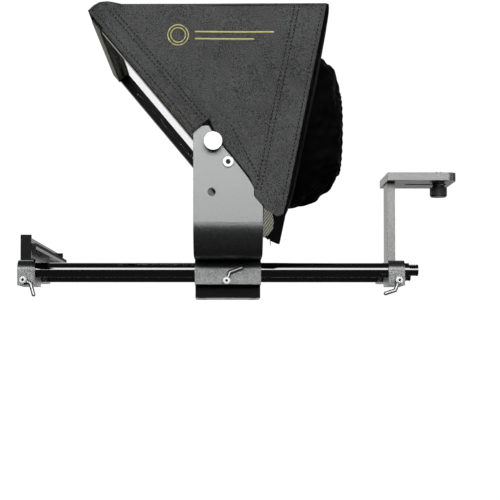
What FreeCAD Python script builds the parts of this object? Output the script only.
"""Rod-mounted teleprompter: tripod base, 15 mm rods, tablet cradle, tilting beam splitter and hood.

Frame: millimetres, +Z up, origin at the mouth of the tripod socket under the base block.
+X runs along the rods towards the camera, and -Y is the side that carries the clamp levers.
"""
import FreeCAD, Part
import math
import os

V = FreeCAD.Vector
X_AXIS, Y_AXIS, Z_AXIS = V(1, 0, 0), V(0, 1, 0), V(0, 0, 1)
NEAR, FAR = -1, 1                       # the two sides of the object, along Y

os.makedirs("parts", exist_ok=True)
doc = FreeCAD.newDocument("teleprompter")

# ---------------------------------------------------------------- driving dimensions
DIMENSIONS = [
    ("rodDia", 15.0, "rod outside diameter"),
    ("rodBore", 12.0, "rod inside diameter"),
    ("rodLength", 396.0, "rod length"),
    ("rodStart", -212.0, "X of the rods' front ends"),
    ("rodSide", 47.0, "Y of each rod's axis from the centre"),
    ("rodLevel", 27.5, "Z of the rods' axes"),
    ("rodShift", 6.0, "how much further back the far rod stands"),
    ("studDia", 11.8, "threaded rod stud diameter"),
    ("studOut", 9.5, "length of the stud outside the rod"),
    ("studIn", 14.0, "length of the stud inside the rod"),
    ("runningGap", 0.05, "radial clearance of a running fit"),
    ("housingRadius", 10.0, "radius of a clamp's top over its rod"),
    ("clampFloor", 11.7, "Z of the underside of the clamps"),
    ("frontClampStart", -212.6, "X of the front clamp's outer face"),
    ("frontClampWidth", 17.8, "front clamp along X"),
    ("rearClampStart", 162.6, "X of the rear clamp's front face"),
    ("rearClampWidth", 16.6, "rear clamp along X"),
    ("clampSlit", 1.6, "width of the slit under each rod"),
    ("clampReliefHalf", 14.0, "half the gap between a clamp's two ears"),
    ("clampReliefTop", 24.0, "Z of the top of that gap"),
    ("clampFarFloor", 18.5, "Z of the underside of a clamp's far side"),
    ("baseWidth", 67.0, "base block, saddle and U-bracket along X"),
    ("baseDepth", 56.0, "base block along Y"),
    ("baseHeight", 12.5, "base block along Z"),
    ("largeTapDia", 7.94, "3/8-16 tap bore"),
    ("tapDepth", 10.0, "depth of the tripod socket"),
    ("sheetThick", 3.0, "U-bracket sheet"),
    ("bracketHalf", 126.0, "Y of the U-bracket arms' outer faces"),
    ("bendRadius", 31.0, "outside radius of the U-bracket's bends"),
    ("spareHoleDia", 7.8, "spare hole in each arm"),
    ("pivotLevel", 126.4, "Z of the tilt pivot"),
    ("pivotDia", 6.0, "pivot screw shank"),
    ("pivotHeadDia", 10.0, "pivot screw head"),
    ("lockOffset", -14.4, "X of the lock knobs"),
    ("lockLevel", 145.0, "Z of the lock knobs"),
    ("lockStudDia", 5.0, "lock knob stud"),
    ("lockKnobDia", 17.5, "lock knob"),
    ("lockKnobThick", 10.6, "lock knob without its face disc"),
    ("lockFaceThick", 1.2, "lock knob's face disc"),
    ("lockSlotTurn", 12.0, "how far the arm's slot lets the lock stud turn each way, degrees"),
    ("frameLean", 40.0, "lean of the glass frame from upright, degrees"),
    ("frameBelow", 65.0, "frame length below the pivot"),
    ("frameAbove", 189.6, "frame length above the pivot"),
    ("frameHalf", 121.0, "Y of the frame's outer faces"),
    ("railWidth", 12.0, "frame rails across"),
    ("railDepth", 18.0, "frame rails along the glass normal"),
    ("railFront", -11.7, "frame's front face from the pivot, along the glass normal"),
    ("glassThick", 3.0, "beam splitter"),
    ("grooveDeep", 4.0, "glass groove depth"),
    ("grooveGap", 0.1, "glass clearance in its groove"),
    ("glassFront", -5.7, "glass front face from the pivot"),
    ("tapeThick", 1.4, "hook-and-loop tape"),
    ("clothThick", 2.0, "hood cloth with its lining"),
    ("hoodInside", 126.6, "Y of the hood side panels' inner faces"),
    ("sockBase", 78.0, "lens sock radius at the hood"),
    ("sockMiddle", 66.0, "lens sock radius half way"),
    ("sockMouth", 43.0, "lens sock radius at its mouth"),
    ("sockMouthAt", 115.2, "X of the lens sock's mouth"),
    ("bandThick", 3.2, "thickness of the elastic round the mouth"),
    ("lensLevel", 175.0, "Z of the lens axis"),
    ("uprightHalf", 14.5, "half the upright's width"),
    ("uprightThick", 8.4, "upright along X"),
    ("uprightStart", 166.7, "X of the upright's front face"),
    ("clampTop", 37.5, "Z of the saddle's and clamps' flat tops"),
    ("plateStart", 165.0, "X of the camera plate's front edge"),
    ("plateLength", 71.6, "camera plate along X"),
    ("plateHalf", 34.0, "half the camera plate's width"),
    ("plateFloor", 121.3, "Z of the camera plate's underside"),
    ("plateThick", 8.2, "camera plate thickness"),
    ("plateCorner", 9.0, "radius of the plate's rear corners"),
    ("slotStart", 187.0, "X of the slot's front end"),
    ("slotLength", 45.0, "slot length"),
    ("slotWidth", 7.0, "slot width"),
    ("cameraScrewAt", 223.0, "X of the camera screw"),
    ("cameraScrewDia", 6.35, "1/4-20 camera screw"),
    ("cameraNeckDia", 5.3, "plain neck of the camera screw, below its thread"),
    ("cameraScrewUp", 5.0, "camera screw above the plate"),
    ("cameraKnobDia", 18.0, "camera knob"),
    ("cameraKnobThick", 11.6, "camera knob thickness"),
    ("cradleHalf", 120.0, "half the tablet bar's length"),
    ("cradleWallStart", -197.4, "X of the tablet bar's outer face"),
    ("cradleThick", 3.0, "tablet bar sheet"),
    ("cradleTop", 57.0, "Z of the tablet bar's top"),
    ("shelfLevel", 43.0, "Z of the tablet shelf's underside"),
    ("shelfReach", 10.0, "tablet shelf along X"),
    ("capLength", 10.3, "end caps of the tablet bar along X"),
    ("capFloor", 33.8, "Z of the end caps' undersides"),
    ("linerThick", 3.0, "foam liner"),
    ("stopHalf", 80.0, "half the rear tablet stop's length"),
    ("leverDia", 4.0, "clamp lever bar"),
    ("leverHubDia", 7.4, "clamp lever hub"),
    ("leverHubThick", 7.0, "clamp lever hub thickness"),
    ("leverScrewDia", 4.0, "clamp screw"),
]
sheet = doc.addObject("Spreadsheet::Sheet", "Dims")
for row, (alias, value, meaning) in enumerate(DIMENSIONS, start=1):
    sheet.set(f"A{row}", meaning)
    sheet.set(f"B{row}", str(value))
    sheet.setAlias(f"B{row}", alias)
doc.recompute()


def size(alias):
    """A driving dimension as a plain number."""
    return float(sheet.get(alias))


kept = []                               # the objects that become nodes, in order


def keep(obj, label):
    """Names a finished sub-part and puts it on the list of nodes."""
    obj.Label = label
    kept.append(obj)
    return obj


# ---------------------------------------------------------------- solids bound to the sheet
def cylinder(radius, height, start, direction=Z_AXIS, frame=None):
    """A cylinder whose radius and height are expressions, standing on start along direction."""
    obj = doc.addObject("Part::Cylinder", "Cylinder")
    obj.setExpression("Radius", radius)
    obj.setExpression("Height", height)
    obj.Placement = placed(start, FreeCAD.Rotation(Z_AXIS, direction), frame)
    return obj


def box(length, width, height, corner, frame=None):
    """A box whose three sizes are expressions, from its lowest corner."""
    obj = doc.addObject("Part::Box", "Box")
    obj.setExpression("Length", length)
    obj.setExpression("Width", width)
    obj.setExpression("Height", height)
    obj.Placement = placed(corner, FreeCAD.Rotation(), frame)
    return obj


def ball(radius, centre):
    obj = doc.addObject("Part::Sphere", "Sphere")
    obj.setExpression("Radius", radius)
    obj.Placement.Base = V(*centre)
    return obj


def placed(point, rotation, frame):
    own = FreeCAD.Placement(V(*point), rotation)
    return frame.multiply(own) if frame else own


def fused(shapes):
    if len(shapes) == 1:
        return shapes[0]
    obj = doc.addObject("Part::MultiFuse", "Fusion")
    obj.Shapes = shapes
    return obj


def group(shapes):
    """Separate solids that share one node."""
    obj = doc.addObject("Part::Compound", "Group")
    obj.Links = shapes
    return obj


def cut(base, tools):
    obj = doc.addObject("Part::Cut", "Cut")
    obj.Base = base
    obj.Tool = fused(tools)
    return obj


def common(first, second):
    obj = doc.addObject("Part::Common", "Common")
    obj.Base = first
    obj.Tool = second
    return obj


# ---------------------------------------------------------------- sketched plates
def line(start, end):
    return Part.LineSegment(V(*start, 0), V(*end, 0))


def arc(start, middle, end):
    return Part.Arc(V(*start, 0), V(*middle, 0), V(*end, 0))


def path(points):
    """The straight lines through a row of points."""
    return [line(a, b) for a, b in zip(points, points[1:])]


def polygon(points):
    """The closed run of lines through points."""
    return path(points + points[:1])


def slot(centre, length, width):
    """A round-ended slot, longer along the sketch's first axis."""
    x, y = centre
    straight = (length - width) / 2
    half = width / 2
    return [
        line((x - straight, y + half), (x + straight, y + half)),
        arc((x + straight, y + half), (x + straight + half, y), (x + straight, y - half)),
        line((x + straight, y - half), (x - straight, y - half)),
        arc((x - straight, y - half), (x - straight - half, y), (x - straight, y + half)),
    ]


def plate(plane, geometry, thickness, offset=0.0, midplane=False):
    """A body padded from a sketch on one of its own origin planes.

    The sketch's axes are X and Y on the XY plane, X and Z on the XZ plane (padded towards -Y)
    and Y and Z on the YZ plane (padded towards +X). offset moves the sketch along the pad.
    """
    body = doc.addObject("PartDesign::Body", "Body")
    sketch = body.newObject("Sketcher::SketchObject", "Profile")
    support = next(f for f in body.Origin.OriginFeatures if f.Role == plane)
    sketch.AttachmentSupport = [(support, "")]
    sketch.MapMode = "FlatFace"
    sketch.AttachmentOffset = FreeCAD.Placement(V(0, 0, offset), FreeCAD.Rotation())
    sketch.addGeometry(geometry, False)
    pad = body.newObject("PartDesign::Pad", "Pad")
    pad.Profile = sketch
    pad.setExpression("Length", thickness)
    pad.Midplane = midplane
    return body


def screw(shank, shank_length, head, head_height, seat, direction, frame=None):
    """A screw whose shank runs from its seat along direction; its head stands the other way."""
    back = direction * -1
    shaft = cylinder(shank, shank_length, seat, direction, frame)
    cap = cylinder(head, head_height, seat, back, frame)
    socket_start = V(*seat) + back * (evaluated(head_height) * 0.4)
    socket = cylinder(f"({head}) * 0.5", head_height, tuple(socket_start), back, frame)
    return cut(fused([shaft, cap]), [socket])


def evaluated(expression):
    return float(sheet.evalExpression(expression.replace("Dims.", "")))


# ---------------------------------------------------------------- rods
ROD_RADIUS = size("rodDia") / 2
ROD_LEVEL = size("rodLevel")
ROD_SIDE = size("rodSide")


def rod(side, label):
    """One tube, open at its front end, with a plug in its rear end."""
    start = size("rodStart") + (size("rodShift") if side == FAR else 0)
    at = (start, side * ROD_SIDE, ROD_LEVEL)
    tube = cylinder("Dims.rodDia / 2", "Dims.rodLength", at, X_AXIS)
    bore = cylinder("Dims.rodBore / 2", "Dims.rodLength", at, X_AXIS)
    keep(cut(tube, [bore]), label)
    return start + size("rodLength")


def rod_stud(end, side):
    """A plug in the rod with a shallow-grooved end that another rod screws on to."""
    start = end - size("studIn")
    at = (start, side * ROD_SIDE, ROD_LEVEL)
    blank = cylinder("Dims.studDia / 2", "Dims.studIn + Dims.studOut", at, X_AXIS)
    pitch = 1.75
    grooves = []
    for turn in range(4):
        x = end + 1.2 + turn * pitch
        outer = cylinder("Dims.studDia / 2 + 1", "0.7", (x, at[1], at[2]), X_AXIS)
        inner = cylinder("Dims.studDia / 2 - 0.7", "0.7", (x, at[1], at[2]), X_AXIS)
        grooves.append(cut(outer, [inner]))
    return cut(blank, grooves)


near_end = rod(NEAR, "rod_near")
far_end = rod(FAR, "rod_far")
keep(group([rod_stud(near_end, NEAR), rod_stud(far_end, FAR)]), "rod_studs")


# ---------------------------------------------------------------- rod housings
def housing_profile(floor, relief=None):
    """The YZ outline of a block over both rods, with a slit under each bore.

    A relief parts the block's two sides below. Its far side then ends at a level of its own and
    has a whole bore, which bore_far cuts.
    """
    radius = size("housingRadius")
    bore = ROD_RADIUS + size("runningGap")
    half_slit = size("clampSlit") / 2
    inner, outer = ROD_SIDE - half_slit, ROD_SIDE + half_slit
    edge = ROD_SIDE + radius
    shoulder = radius * math.sqrt(0.5)
    low = ROD_LEVEL - math.sqrt(bore ** 2 - half_slit ** 2)
    top = size("clampTop")

    if relief:
        half, height, far_floor = relief
        shape = path([(-inner, floor), (-half, floor), (-half, height), (half, height),
                      (half, far_floor), (edge, far_floor), (edge, ROD_LEVEL)])
    else:
        shape = path([(-inner, floor), (inner, floor), (inner, low)])
        shape.append(arc((inner, low), (ROD_SIDE, ROD_LEVEL + bore), (outer, low)))
        shape += path([(outer, low), (outer, floor), (edge, floor), (edge, ROD_LEVEL)])
    shape += [
        arc((edge, ROD_LEVEL), (ROD_SIDE + shoulder, ROD_LEVEL + shoulder), (ROD_SIDE, top)),
        line((ROD_SIDE, top), (-ROD_SIDE, top)),
        arc((-ROD_SIDE, top), (-ROD_SIDE - shoulder, ROD_LEVEL + shoulder), (-edge, ROD_LEVEL)),
    ]
    shape += path([(-edge, ROD_LEVEL), (-edge, floor), (-outer, floor), (-outer, low)])
    shape.append(arc((-outer, low), (-ROD_SIDE, ROD_LEVEL + bore), (-inner, low)))
    shape.append(line((-inner, low), (-inner, floor)))
    return shape


def bore_far(start):
    """The far rod's whole bore through a clamp that begins at start along X."""
    return cylinder("Dims.rodDia / 2 + Dims.runningGap", "Dims.frontClampWidth + 2",
                    (start - 1, ROD_SIDE, ROD_LEVEL), X_AXIS)


RELIEF = (size("clampReliefHalf"), size("clampReliefTop"), size("clampFarFloor"))
HOUSING_FACE = -(ROD_SIDE + size("housingRadius"))          # Y of the near faces that carry the levers
M5_CLEAR = "2.5"
M5_HEAD = "4.6"
M5_HEAD_HEIGHT = "2.6"
M5_POCKET = "4.8"
BASE_POCKET = 3.2                        # depth of the pockets that hide the base screws' heads
PLATE_POCKET = 3.0                       # and the plate screws' heads


def lever_screw_hole(x, z):
    """The hole that a clamp screw passes through, from the near face past the slit."""
    return cylinder("Dims.leverScrewDia / 2 + Dims.runningGap", "24", (x, HOUSING_FACE - 1, z), Y_AXIS)


# The saddle takes four screws from the U-bracket above and four from the base block below.
SADDLE_TOP_BOLTS = [(x, y) for x in (-24, 24) for y in (-18, 18)]
SADDLE_LOW_BOLTS = [(x, y) for x in (-26, 26) for y in (-22, 22)]
BASE_TOP = size("baseHeight")
CENTRE_LEVER = (-1.3, 15.9)
saddle_blank = plate("YZ_Plane", housing_profile(BASE_TOP), "Dims.baseWidth", midplane=True)
saddle_holes = [cylinder(M5_CLEAR, "14", (x, y, size("clampTop") - 14)) for x, y in SADDLE_TOP_BOLTS]
saddle_holes += [cylinder(M5_CLEAR, "10", (x, y, BASE_TOP)) for x, y in SADDLE_LOW_BOLTS]
saddle_holes.append(lever_screw_hole(*CENTRE_LEVER))
keep(cut(saddle_blank, saddle_holes), "rod_saddle")

front_middle = size("frontClampStart") + size("frontClampWidth") / 2
FRONT_LEVER = (-205.6, 16.6)
CRADLE_BOLTS = [(-205.0, -22.0), (-205.0, 22.0)]
front_blank = plate("YZ_Plane", housing_profile(size("clampFloor"), RELIEF), "Dims.frontClampWidth",
                    offset=size("frontClampStart"))
front_holes = [cylinder(M5_CLEAR, "12", (x, y, size("clampTop") - 12)) for x, y in CRADLE_BOLTS]
front_holes.append(lever_screw_hole(*FRONT_LEVER))
front_holes.append(bore_far(size("frontClampStart")))
keep(cut(front_blank, front_holes), "front_clamp_block")

REAR_LEVER = (172.6, 16.5)
upright_middle = size("uprightStart") + size("uprightThick") / 2
UPRIGHT_BOLT_SIDES = (-8, 8)
rear_blank = plate("YZ_Plane", housing_profile(size("clampFloor"), RELIEF), "Dims.rearClampWidth",
                   offset=size("rearClampStart"))
rear_holes = [cylinder(M5_CLEAR, "16", (upright_middle, y, 23)) for y in UPRIGHT_BOLT_SIDES]
rear_holes.append(lever_screw_hole(*REAR_LEVER))
rear_holes.append(bore_far(size("rearClampStart")))
keep(cut(rear_blank, rear_holes), "rear_clamp_block")


# ---------------------------------------------------------------- clamp levers
def lever(label, screw_at, bend, tip):
    """A cranked round-bar lever whose hub stands off the housing's near face, and its screw."""
    x, z = screw_at
    gap = 0.4
    hub_outer = HOUSING_FACE - gap - size("leverHubThick")
    arm_y = HOUSING_FACE - gap - size("leverHubThick") / 2
    hub = cylinder("Dims.leverHubDia / 2", "Dims.leverHubThick", (x, HOUSING_FACE - gap, z), Y_AXIS * -1)
    joints = [(x, arm_y, z), (bend[0], arm_y, bend[1]), (tip[0], arm_y, tip[1])]
    bar = [hub]
    for start, end in zip(joints, joints[1:]):
        run = V(*end) - V(*start)
        bar.append(cylinder("Dims.leverDia / 2", f"{run.Length}", start, run))
        bar.append(ball("Dims.leverDia / 2", end))
    bore_start = (x, HOUSING_FACE + 1, z)
    bore = cylinder("Dims.leverScrewDia / 2", "Dims.leverHubThick + 2", bore_start, Y_AXIS * -1)
    keep(cut(fused(bar), [bore]), f"{label}_lever")
    seat = (x, hub_outer, z)
    reach = "Dims.leverHubThick + 18"
    keep(screw("Dims.leverScrewDia / 2", reach, "Dims.leverHubDia / 2 - 0.9", "1.8", seat, Y_AXIS),
         f"{label}_lever_screw")


lever("front", FRONT_LEVER, (-198.6, 13.4), (-195.4, 1.9))
lever("centre", CENTRE_LEVER, (1.9, 24.7), (13.6, 29.0))
lever("rear", REAR_LEVER, (168.6, 6.4), (158.8, 3.2))


# ---------------------------------------------------------------- base block
def bored_block():
    half_w, half_d = size("baseWidth") / 2, size("baseDepth") / 2
    outline = polygon([(-half_w, -half_d), (half_w, -half_d), (half_w, half_d), (-half_w, half_d)])
    body = plate("XY_Plane", outline, "Dims.baseHeight")
    holes = [cylinder("Dims.largeTapDia / 2", "Dims.tapDepth", (0, 0, 0))]
    for x, y in SADDLE_LOW_BOLTS:
        holes.append(cylinder(M5_CLEAR, "Dims.baseHeight", (x, y, 0)))
        holes.append(cylinder(M5_POCKET, f"{BASE_POCKET}", (x, y, 0)))
    return cut(body, holes)


keep(bored_block(), "base_block")
keep(group([screw("2.45", "18", M5_HEAD, M5_HEAD_HEIGHT, (x, y, BASE_POCKET), Z_AXIS)
            for x, y in SADDLE_LOW_BOLTS]), "base_screws")


# ---------------------------------------------------------------- U-bracket
def u_profile():
    """The bent sheet seen along X, from one arm's top round to the other's."""
    outer, thick = size("bracketHalf"), size("sheetThick")
    radius, floor = size("bendRadius"), size("clampTop")
    inner, inner_radius = outer - thick, radius - thick
    centre_y, centre_z = outer - radius, floor + radius
    top = 170.0
    diagonal = math.sqrt(0.5)

    def bend(side, r):
        return (side * (centre_y + r * diagonal), centre_z - r * diagonal)

    return [
        line((-outer, top), (-outer, centre_z)),
        arc((-outer, centre_z), bend(NEAR, radius), (-centre_y, floor)),
        line((-centre_y, floor), (centre_y, floor)),
        arc((centre_y, floor), bend(FAR, radius), (outer, centre_z)),
        line((outer, centre_z), (outer, top)),
        line((outer, top), (inner, top)),
        line((inner, top), (inner, centre_z)),
        arc((inner, centre_z), bend(FAR, inner_radius), (centre_y, floor + thick)),
        line((centre_y, floor + thick), (-centre_y, floor + thick)),
        arc((-centre_y, floor + thick), bend(NEAR, inner_radius), (-inner, centre_z)),
        line((-inner, centre_z), (-inner, top)),
        line((-inner, top), (-outer, top)),
    ]


def arm_outline():
    """The bracket seen along Y: a round-topped arm with a slanted, notched rear edge."""
    half = size("baseWidth") / 2
    floor = size("clampTop") - 1
    return [
        line((-half, floor), (-half, 153.8)),
        arc((-half, 153.8), (-27.0, 160.2), (-18.5, 161.2)),
        line((-18.5, 161.2), (-11.5, 149.5)),
        line((-11.5, 149.5), (9.7, 123.5)),
        line((9.7, 123.5), (19.3, 111.0)),
        line((19.3, 111.0), (25.0, 101.4)),
        line((25.0, 101.4), (25.0, 93.7)),
        line((25.0, 93.7), (half, 84.0)),
        line((half, 84.0), (half, floor)),
        line((half, floor), (-half, floor)),
    ]


def lock_slot_geometry():
    """The slot round the pivot that the lock stud moves in, drawn as a bent round-ended slot."""
    pivot = V(0, size("pivotLevel"), 0)
    stud = V(size("lockOffset"), size("lockLevel"), 0) - pivot
    centre_angle = math.atan2(stud.y, stud.x)
    half_width = size("lockStudDia") / 2 + 0.4
    turn = math.radians(size("lockSlotTurn"))

    def at(radius, angle):
        return (pivot.x + radius * math.cos(angle), pivot.y + radius * math.sin(angle))

    outer, inner = stud.Length + half_width, stud.Length - half_width
    low, high = centre_angle - turn, centre_angle + turn
    end_turn = half_width / stud.Length
    return [
        arc(at(outer, low), at(outer, centre_angle), at(outer, high)),
        arc(at(outer, high), at(stud.Length, high + end_turn), at(inner, high)),
        arc(at(inner, high), at(inner, centre_angle), at(inner, low)),
        arc(at(inner, low), at(stud.Length, low - end_turn), at(outer, low)),
    ]


STOP_BOLTS = [(-12, -62), (-12, 62)]
SPARE_HOLE = (-15.8, 97.5)
ARM_FOOT = size("clampTop") + size("bendRadius")            # Z where the bends end and the arms begin


def bent_sheet():
    """The whole bracket, before its holes."""
    channel = plate("YZ_Plane", u_profile(), "Dims.baseWidth", midplane=True)
    side_view = plate("XZ_Plane", arm_outline(), "Dims.bracketHalf * 2 + 10", midplane=True)
    return common(channel, side_view)


def sheet_part(floor, height, start, width):
    """The bracket's sheet inside a box that spans its whole width along X."""
    space = box("Dims.baseWidth + 10", width, height, (-size("baseWidth") / 2 - 5, start, floor))
    return common(bent_sheet(), space)


def bracket_floor():
    """The bracket's floor with both bends."""
    below = size("clampTop") - 5
    height = f"{ARM_FOOT - below}"
    sheet_floor = sheet_part(below, height, -size("bracketHalf") - 5, "Dims.bracketHalf * 2 + 10")
    level = size("clampTop") - 2
    holes = [cylinder(M5_CLEAR, "8", (x, y, level)) for x, y in SADDLE_TOP_BOLTS]
    holes += [cylinder("2", "8", (x, y, level)) for x, y in STOP_BOLTS]
    return cut(sheet_floor, holes)


def bracket_arm(side):
    """One flat arm above its bend, with the pivot hole, the lock's curved slot and a spare hole."""
    outer, thick = size("bracketHalf"), size("sheetThick")
    start = -outer - 5 if side == NEAR else outer - thick - 5
    blank = sheet_part(ARM_FOOT, "120", start, "Dims.sheetThick + 10")
    reach = "Dims.sheetThick + 10"
    holes = [
        plate("XZ_Plane", lock_slot_geometry(), "Dims.bracketHalf * 2 + 10", midplane=True),
        cylinder("Dims.pivotDia / 2 + Dims.runningGap", reach, (0, start, size("pivotLevel")), Y_AXIS),
        cylinder("Dims.spareHoleDia / 2", reach, (SPARE_HOLE[0], start, SPARE_HOLE[1]), Y_AXIS),
    ]
    return cut(blank, holes)


keep(bracket_floor(), "bracket_floor")
keep(bracket_arm(NEAR), "bracket_arm_near")
keep(bracket_arm(FAR), "bracket_arm_far")
bracket_top = size("clampTop") + size("sheetThick")
keep(group([screw("2.45", "14", M5_HEAD, M5_HEAD_HEIGHT, (x, y, bracket_top), Z_AXIS * -1)
            for x, y in SADDLE_TOP_BOLTS]), "bracket_screws")


# ---------------------------------------------------------------- rear rest for the tablet
def rear_stop():
    """An angle strip on the bracket's floor; its foot is cut away over the bracket screws' heads."""
    thick = size("sheetThick")
    front, back = -18.0, 4.0
    profile = polygon([(front, bracket_top), (back, bracket_top), (back, size("cradleTop")),
                       (back - thick, size("cradleTop")), (back - thick, bracket_top + thick),
                       (front, bracket_top + thick)])
    body = plate("XZ_Plane", profile, "Dims.stopHalf * 2", midplane=True)
    holes = [cylinder("2", "10", (x, y, bracket_top - 3)) for x, y in STOP_BOLTS]
    return cut(body, holes)


keep(rear_stop(), "tablet_rear_stop")
pad_level = bracket_top + size("sheetThick")
rest_level = size("shelfLevel") + size("cradleThick") + size("linerThick")
pad_blank = box("18.5", "Dims.stopHalf * 2", f"{rest_level - pad_level}",
                (-18, -size("stopHalf"), pad_level))
pad_holes = [cylinder("3.8", "10", (x, y, pad_level - 1)) for x, y in STOP_BOLTS]
keep(cut(pad_blank, pad_holes), "tablet_rear_pad")
keep(group([screw("1.95", "5.5", "3.4", "1.8", (x, y, pad_level), Z_AXIS * -1) for x, y in STOP_BOLTS]),
     "rear_stop_screws")


# ---------------------------------------------------------------- front tablet cradle
CAP_AHEAD = 1.8                         # how far the end caps stand out in front of the wall


def front_bar():
    """A wall and shelf across the front with a cap at each end, on a foot screwed to the clamp's top."""
    thick = size("cradleThick")
    wall = size("cradleWallStart")
    floor, top, shelf = size("clampTop"), size("cradleTop"), size("shelfLevel")
    reach = wall + thick + size("shelfReach")
    inside = wall + thick
    channel = polygon([(wall, floor), (inside, floor), (inside, shelf), (reach, shelf),
                       (reach, shelf + thick), (inside, shelf + thick), (inside, top), (wall, top)])
    body = plate("XZ_Plane", channel, "Dims.cradleHalf * 2", midplane=True)
    foot = box("15", "76", "Dims.cradleThick", (wall - 15, -38, floor))
    caps = [box("Dims.capLength", "Dims.cradleThick", "Dims.cradleTop - Dims.capFloor",
                (wall - CAP_AHEAD, start, size("capFloor")))
            for start in (-size("cradleHalf"), size("cradleHalf") - thick)]
    holes = [cylinder(M5_CLEAR, "8", (x, y, floor - 2)) for x, y in CRADLE_BOLTS]
    return cut(fused([body, foot, *caps]), holes)


keep(front_bar(), "tablet_front_bar")
liner_start = size("cradleWallStart") + size("cradleThick")
liner_level = size("shelfLevel") + size("cradleThick")
keep(box("Dims.shelfReach", "(Dims.cradleHalf - Dims.cradleThick) * 2 - 1", "Dims.linerThick",
         (liner_start, -size("cradleHalf") + size("cradleThick") + 0.5, liner_level)),
     "tablet_front_liner")
foot_top = size("clampTop") + size("cradleThick")
keep(group([screw("2.45", "12", M5_HEAD, M5_HEAD_HEIGHT, (x, y, foot_top), Z_AXIS * -1)
            for x, y in CRADLE_BOLTS]), "front_bar_screws")


# ---------------------------------------------------------------- camera bracket
PLATE_TOP = size("plateFloor") + size("plateThick")


def upright():
    blank = box("Dims.uprightThick", "Dims.uprightHalf * 2", "Dims.plateFloor - Dims.clampTop",
                (size("uprightStart"), -size("uprightHalf"), size("clampTop")))
    holes = []
    for y in UPRIGHT_BOLT_SIDES:
        holes.append(cylinder(M5_CLEAR, "15", (upright_middle, y, size("clampTop"))))
        holes.append(cylinder(M5_CLEAR, "15", (upright_middle, y, size("plateFloor") - 15)))
    return cut(blank, holes)


def camera_plate():
    start, end = size("plateStart"), size("plateStart") + size("plateLength")
    half, corner = size("plateHalf"), size("plateCorner")
    lift = corner * (1 - math.sqrt(0.5))
    outline = [
        line((start, -half), (end - corner, -half)),
        arc((end - corner, -half), (end - lift, -half + lift), (end, -half + corner)),
        line((end, -half + corner), (end, half - corner)),
        arc((end, half - corner), (end - lift, half - lift), (end - corner, half)),
        line((end - corner, half), (start, half)),
        line((start, half), (start, -half)),
    ]
    middle = size("slotStart") + size("slotLength") / 2
    outline += slot((middle, 0), size("slotLength"), size("slotWidth"))
    body = plate("XY_Plane", outline, "Dims.plateThick", offset=size("plateFloor"))
    holes = []
    for y in UPRIGHT_BOLT_SIDES:
        holes.append(cylinder(M5_CLEAR, "Dims.plateThick", (upright_middle, y, size("plateFloor"))))
        holes.append(cylinder(M5_POCKET, f"{PLATE_POCKET}", (upright_middle, y, PLATE_TOP - PLATE_POCKET)))
    return cut(body, holes)


keep(upright(), "upright")
keep(camera_plate(), "camera_plate")
keep(group([screw("2.45", "18", M5_HEAD, M5_HEAD_HEIGHT, (upright_middle, y, PLATE_TOP - PLATE_POCKET),
                  Z_AXIS * -1) for y in UPRIGHT_BOLT_SIDES]), "plate_screws")
keep(group([screw("2.45", "24", M5_HEAD, M5_HEAD_HEIGHT,
                  (upright_middle, y, size("clampReliefTop")), Z_AXIS)
            for y in UPRIGHT_BOLT_SIDES]), "upright_screws")

SCREW_AT = size("cameraScrewAt")
WASHER_THICK = 1.2
washer_floor = size("plateFloor") - 0.3 - WASHER_THICK
washer = fused([cylinder("7", f"{WASHER_THICK}", (SCREW_AT, 0, washer_floor)),
                cylinder("3.4", "5", (SCREW_AT, 0, washer_floor))])
washer = cut(washer, [cylinder("2.7", "20", (SCREW_AT, 0, washer_floor - 5))])
keep(washer, "slot_washer")

knob_top = washer_floor - 0.3
knob_floor = knob_top - size("cameraKnobThick")
neck = 2.0
knob_body = [
    cylinder("Dims.cameraKnobDia / 2", f"Dims.cameraKnobThick - {neck} - 1", (SCREW_AT, 0, knob_floor + 1)),
    cylinder("Dims.cameraKnobDia / 2 - 1", "1", (SCREW_AT, 0, knob_floor)),
    cylinder("Dims.cameraKnobDia / 2 - 2.4", f"{neck}", (SCREW_AT, 0, knob_top - neck)),
]
KNOB_FLUTES = 24
flutes = []
for index in range(KNOB_FLUTES):
    angle = 2 * math.pi * index / KNOB_FLUTES
    reach = size("cameraKnobDia") / 2 + 0.25
    flute_at = (SCREW_AT + reach * math.cos(angle), reach * math.sin(angle), knob_floor + 1.5)
    flutes.append(cylinder("0.7", "Dims.cameraKnobThick - 4", flute_at))
screw_floor = knob_floor + 4
knob_bore = cylinder("Dims.cameraNeckDia / 2", "20", (SCREW_AT, 0, screw_floor))
keep(cut(fused(knob_body), flutes + [knob_bore]), "camera_knob")
THREAD_GAP = 0.1                         # the thread begins just above the plate
thread_floor = PLATE_TOP + THREAD_GAP
screw_parts = [
    cylinder("Dims.cameraNeckDia / 2", f"{thread_floor - screw_floor}", (SCREW_AT, 0, screw_floor)),
    cylinder("Dims.cameraScrewDia / 2", f"Dims.cameraScrewUp - {THREAD_GAP}", (SCREW_AT, 0, thread_floor)),
]
keep(fused(screw_parts), "camera_screw")

# ---------------------------------------------------------------- glass frame
# Its own axes: x along the glass normal towards the hood, y along Y, z up the glass, from the pivot.
tilted = FreeCAD.Placement(V(0, 0, size("pivotLevel")), FreeCAD.Rotation(Y_AXIS, -size("frameLean")))
FRONT = size("railFront")
BACK = FRONT + size("railDepth")
LOW, HIGH = -size("frameBelow"), size("frameAbove")
RAIL = size("railWidth")
HALF = size("frameHalf")
INNER = HALF - RAIL
GROOVE = size("grooveDeep")
groove_thick = "Dims.glassThick + 2 * Dims.grooveGap"
groove_front = size("glassFront") - size("grooveGap")
lock_in_frame = tilted.inverse().multVec(V(size("lockOffset"), 0, size("lockLevel")))
BOLT_DEPTH = FRONT + 12.5                # behind the glass groove
CORNER_BOLTS = [(BOLT_DEPTH, LOW + RAIL / 2), (BOLT_DEPTH, HIGH - RAIL / 2)]


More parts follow.
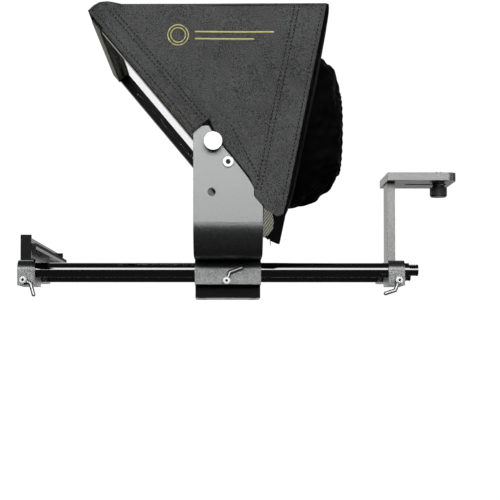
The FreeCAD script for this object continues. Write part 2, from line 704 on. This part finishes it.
def side_rail(side):
    corner_y = -HALF if side == NEAR else INNER
    blank = box("Dims.railDepth", "Dims.railWidth", "Dims.frameBelow + Dims.frameAbove",
                (FRONT, corner_y, LOW), tilted)
    groove_y = -INNER - GROOVE if side == NEAR else INNER
    tools = [box(groove_thick, "Dims.grooveDeep",
                 "Dims.frameBelow + Dims.frameAbove - 2 * Dims.railWidth + 8",
                 (groove_front, groove_y, LOW + RAIL - GROOVE), tilted)]
    start = side * (HALF + 1)
    inward = Y_AXIS * -side
    tools.append(cylinder("Dims.pivotDia / 2", "11", (0, start, 0), inward, tilted))
    tools.append(cylinder("Dims.lockStudDia / 2 + Dims.runningGap", "11",
                          (lock_in_frame.x, start, lock_in_frame.z), inward, tilted))
    for x, z in CORNER_BOLTS:
        tools.append(cylinder("2", "20", (x, start, z), inward, tilted))
    return cut(blank, tools)


def cross_bar(floor, groove_floor):
    blank = box("Dims.railDepth", "(Dims.frameHalf - Dims.railWidth) * 2", "Dims.railWidth",
                (FRONT, -INNER, floor), tilted)
    tools = [box(groove_thick, "(Dims.frameHalf - Dims.railWidth) * 2", "Dims.grooveDeep",
                 (groove_front, -INNER, groove_floor), tilted)]
    for side in (NEAR, FAR):
        bolt_at = (BOLT_DEPTH, side * INNER, floor + RAIL / 2)
        tools.append(cylinder("2", "16", bolt_at, Y_AXIS * -side, tilted))
    return cut(blank, tools)


keep(side_rail(NEAR), "frame_rail_near")
keep(side_rail(FAR), "frame_rail_far")
keep(cross_bar(HIGH - RAIL, HIGH - RAIL), "frame_top_bar")
keep(cross_bar(LOW, LOW + RAIL - GROOVE), "frame_bottom_bar")
glass_margin = "Dims.grooveDeep - Dims.grooveGap * 2"
keep(box("Dims.glassThick", f"(Dims.frameHalf - Dims.railWidth + {glass_margin}) * 2",
         f"Dims.frameBelow + Dims.frameAbove - 2 * Dims.railWidth + 2 * ({glass_margin})",
         (size("glassFront"), -INNER - GROOVE + 0.2, LOW + RAIL - GROOVE + 0.2), tilted),
     "beam_splitter_glass")

corner_screws = []
for side in (NEAR, FAR):
    for x, z in CORNER_BOLTS:
        corner_screws.append(screw("1.95", "26", "3.4", "1.4", (x, side * HALF, z),
                                   Y_AXIS * -side, tilted))
keep(group(corner_screws), "corner_screws")


def tape(side, floor, top):
    corner_y = -HALF - size("tapeThick") if side == NEAR else HALF
    return box("Dims.railDepth - 3", "Dims.tapeThick", f"{top - floor}",
               (FRONT + 1.5, corner_y, floor), tilted)


TAPE_RUNS = [(LOW + 13, -14.0), (lock_in_frame.z + 14, HIGH - 13)]
keep(group([tape(side, *run) for side in (NEAR, FAR) for run in TAPE_RUNS]), "side_hook_strips")
keep(box("Dims.tapeThick", "(Dims.frameHalf - 3) * 2", "Dims.railWidth - 1",
         (FRONT - size("tapeThick"), -HALF + 3, HIGH - RAIL + 0.5), tilted), "top_hook_strip")


# ---------------------------------------------------------------- pivot and lock
ARM_FACE = size("bracketHalf")
FACE_GAP = 0.3


def pivot_screw(side):
    seat = (0, side * (ARM_FACE + FACE_GAP), size("pivotLevel"))
    return screw("Dims.pivotDia / 2", "12", "Dims.pivotHeadDia / 2", "2.8", seat, Y_AXIS * -side)


def pivot_washer(side):
    start = (0, side * HALF, size("pivotLevel"))
    ring = cylinder("6.5", "1.6", start, Y_AXIS * side)
    return cut(ring, [cylinder("Dims.pivotDia / 2", "1.6", start, Y_AXIS * side)])


keep(group([pivot_screw(NEAR), pivot_screw(FAR)]), "pivot_screws")
keep(group([pivot_washer(NEAR), pivot_washer(FAR)]), "pivot_washers")


def lock_knob(side, label):
    """A knob whose stud goes through the arm's slot into the frame rail, and its bright face disc."""
    at_x, at_z = size("lockOffset"), size("lockLevel")
    inner = side * (ARM_FACE + FACE_GAP)
    outward = Y_AXIS * side
    barrel = cylinder("Dims.lockKnobDia / 2 - 0.5", "Dims.lockKnobThick", (at_x, inner, at_z), outward)
    flutes = []
    for index in range(KNOB_FLUTES):
        angle = 2 * math.pi * index / KNOB_FLUTES
        reach = size("lockKnobDia") / 2 - 0.2
        flute_at = (at_x + reach * math.cos(angle), inner + side * 1.0, at_z + reach * math.sin(angle))
        flutes.append(cylinder("0.6", "Dims.lockKnobThick - 2", flute_at, outward))
    stud_end = side * (HALF - 9)
    stud = cylinder("Dims.lockStudDia / 2", f"{abs(inner - stud_end)}", (at_x, stud_end, at_z), outward)
    keep(cut(fused([barrel, stud]), flutes), label)
    face_at = (at_x, inner + side * size("lockKnobThick"), at_z)
    keep(cylinder("Dims.lockKnobDia / 2", "Dims.lockFaceThick", face_at, outward), f"{label}_face")


lock_knob(NEAR, "lock_knob_near")
lock_knob(FAR, "lock_knob_far")

# ---------------------------------------------------------------- fabric hood
FRONT_TOP = (-134.0, 271.0)
LIP_TOP = (-116.0, 280.0)
REAR_TOP = (97.0, 278.6)
REAR_LOW = (58.6, 89.5)
TIP = (52.0, 74.0)
CLOTH = size("clothThick")
rear_run = V(REAR_TOP[0] - REAR_LOW[0], REAR_TOP[1] - REAR_LOW[1], 0).normalize()
rear_normal = V(rear_run.y, -rear_run.x, 0)                 # out of the hood, towards the camera


def hood_side(side):
    """A side panel: its front edge follows the glass frame, then the slanted edge of the arm.

    The near panel's lower corner hangs below the rear panel as a loose tab.
    """
    corner = [(50.0, 48.0), (43.0, 55.0), (35.0, 58.0), (35.0, 84.0)] if side == NEAR else [TIP]
    outline = polygon([FRONT_TOP, LIP_TOP, REAR_TOP, REAR_LOW, *corner, (37.0, 86.5), (27.5, 97.0),
                       (27.5, 103.0), (13.5, 125.5), (-7.0, 152.5), (-15.0, 169.0), (-34.5, 154.0)])
    offset = size("hoodInside") if side == NEAR else -size("hoodInside") - CLOTH
    return plate("XZ_Plane", outline, "Dims.clothThick", offset=offset)


def hood_top():
    (x0, z0), (x1, z1), (x2, z2) = FRONT_TOP, LIP_TOP, REAR_TOP
    outline = polygon([(x0, z0), (x1, z1), (x2, z2), (x2 - 0.4, z2 - CLOTH), (x1 + 0.5, z1 - CLOTH),
                       (x0 + 1.0, z0 - 1.8)])
    return plate("XZ_Plane", outline, "Dims.hoodInside * 2", midplane=True)


def hood_rear():
    """The leaning rear panel, with the round opening that the lens sock is sewn to."""
    inside = [V(*p, 0) - rear_normal * CLOTH for p in (REAR_TOP, REAR_LOW, TIP)]
    top = V(*REAR_TOP, 0) - rear_run * (CLOTH + 0.6)
    top_inside = top - rear_normal * CLOTH
    points = [(top.x, top.y), REAR_LOW, TIP, (inside[2].x, inside[2].y + 1.2), (inside[1].x, inside[1].y),
              (top_inside.x, top_inside.y)]
    panel = plate("XZ_Plane", polygon(points), "Dims.hoodInside * 2", midplane=True)
    centre = sock_centre()
    normal = V(rear_normal.x, 0, rear_normal.y)
    hole = cylinder("Dims.sockBase", "Dims.clothThick * 4", tuple(centre - normal * CLOTH * 2), normal)
    return cut(panel, [hole])


def sock_centre():
    """Where the lens axis meets the rear panel's outer face."""
    up = (size("lensLevel") - REAR_LOW[1]) / rear_run.y
    return V(REAR_LOW[0] + rear_run.x * up, 0, size("lensLevel"))


def ring_at(radius, centre, normal):
    obj = doc.addObject("Part::Circle", "Ring")
    obj.setExpression("Radius", radius)
    obj.Placement = FreeCAD.Placement(centre, FreeCAD.Rotation(Z_AXIS, normal))
    return obj


SOCK_MOUTH_AT = V(size("sockMouthAt"), 0, size("lensLevel"))
MOUTH_NORMAL = X_AXIS


BASE_NORMAL = V(rear_normal.x, 0, rear_normal.y)
SOCK_MIDDLE_AT = V(107.5, 0, size("lensLevel") + 1)
SOCK_RINGS = [
    ("Dims.sockBase", sock_centre(), BASE_NORMAL),
    ("Dims.sockMiddle", SOCK_MIDDLE_AT, (BASE_NORMAL + MOUTH_NORMAL).normalize()),
    ("Dims.sockMouth", SOCK_MOUTH_AT, MOUTH_NORMAL),
]


def sock_sleeve(first, second):
    """One length of the gathered sleeve between two of its rings, open right through."""
    skins = []
    for inset in ("0", "Dims.clothThick"):
        loft = doc.addObject("Part::Loft", "Skin")
        loft.Sections = [ring_at(f"{radius} - {inset}", centre, normal)
                         for radius, centre, normal in (first, second)]
        loft.Solid = True
        loft.Ruled = True
        skins.append(loft)
    return cut(skins[0], [skins[1]])


keep(hood_side(NEAR), "hood_side_near")
keep(hood_side(FAR), "hood_side_far")
keep(hood_top(), "hood_top")
keep(hood_rear(), "hood_rear")
keep(sock_sleeve(*SOCK_RINGS[:2]), "lens_sock_root")
keep(sock_sleeve(*SOCK_RINGS[1:]), "lens_sock")
band = doc.addObject("Part::Torus", "Band")
band.setExpression("Radius1", "Dims.sockMouth - 0.5")
band.setExpression("Radius2", "Dims.bandThick / 2")
band.Placement = FreeCAD.Placement(SOCK_MOUTH_AT + X_AXIS * (size("bandThick") / 2 + 0.1),
                                   FreeCAD.Rotation(Z_AXIS, X_AXIS))
keep(band, "sock_band")

# ---------------------------------------------------------------- checks and export
doc.recompute()
for obj in doc.Objects:
    if "Invalid" in obj.State or "Error" in obj.State:
        raise RuntimeError(f"{obj.Name} ({obj.Label}) is {obj.State}")
for obj in kept:
    shape = obj.Shape
    if shape.isNull() or not shape.isValid() or not shape.Solids:
        raise RuntimeError(f"{obj.Label} has no valid solid")
    shape.exportStep(os.path.join("parts", f"{obj.Label}.step"))
    bounds = shape.BoundBox
    print(f"{obj.Label:22s} {len(shape.Solids)} solids {shape.Volume:11.1f}3  "
          f"X {bounds.XMin:7.1f} {bounds.XMax:7.1f}  Y {bounds.YMin:7.1f} {bounds.YMax:7.1f}  "
          f"Z {bounds.ZMin:7.1f} {bounds.ZMax:7.1f}")
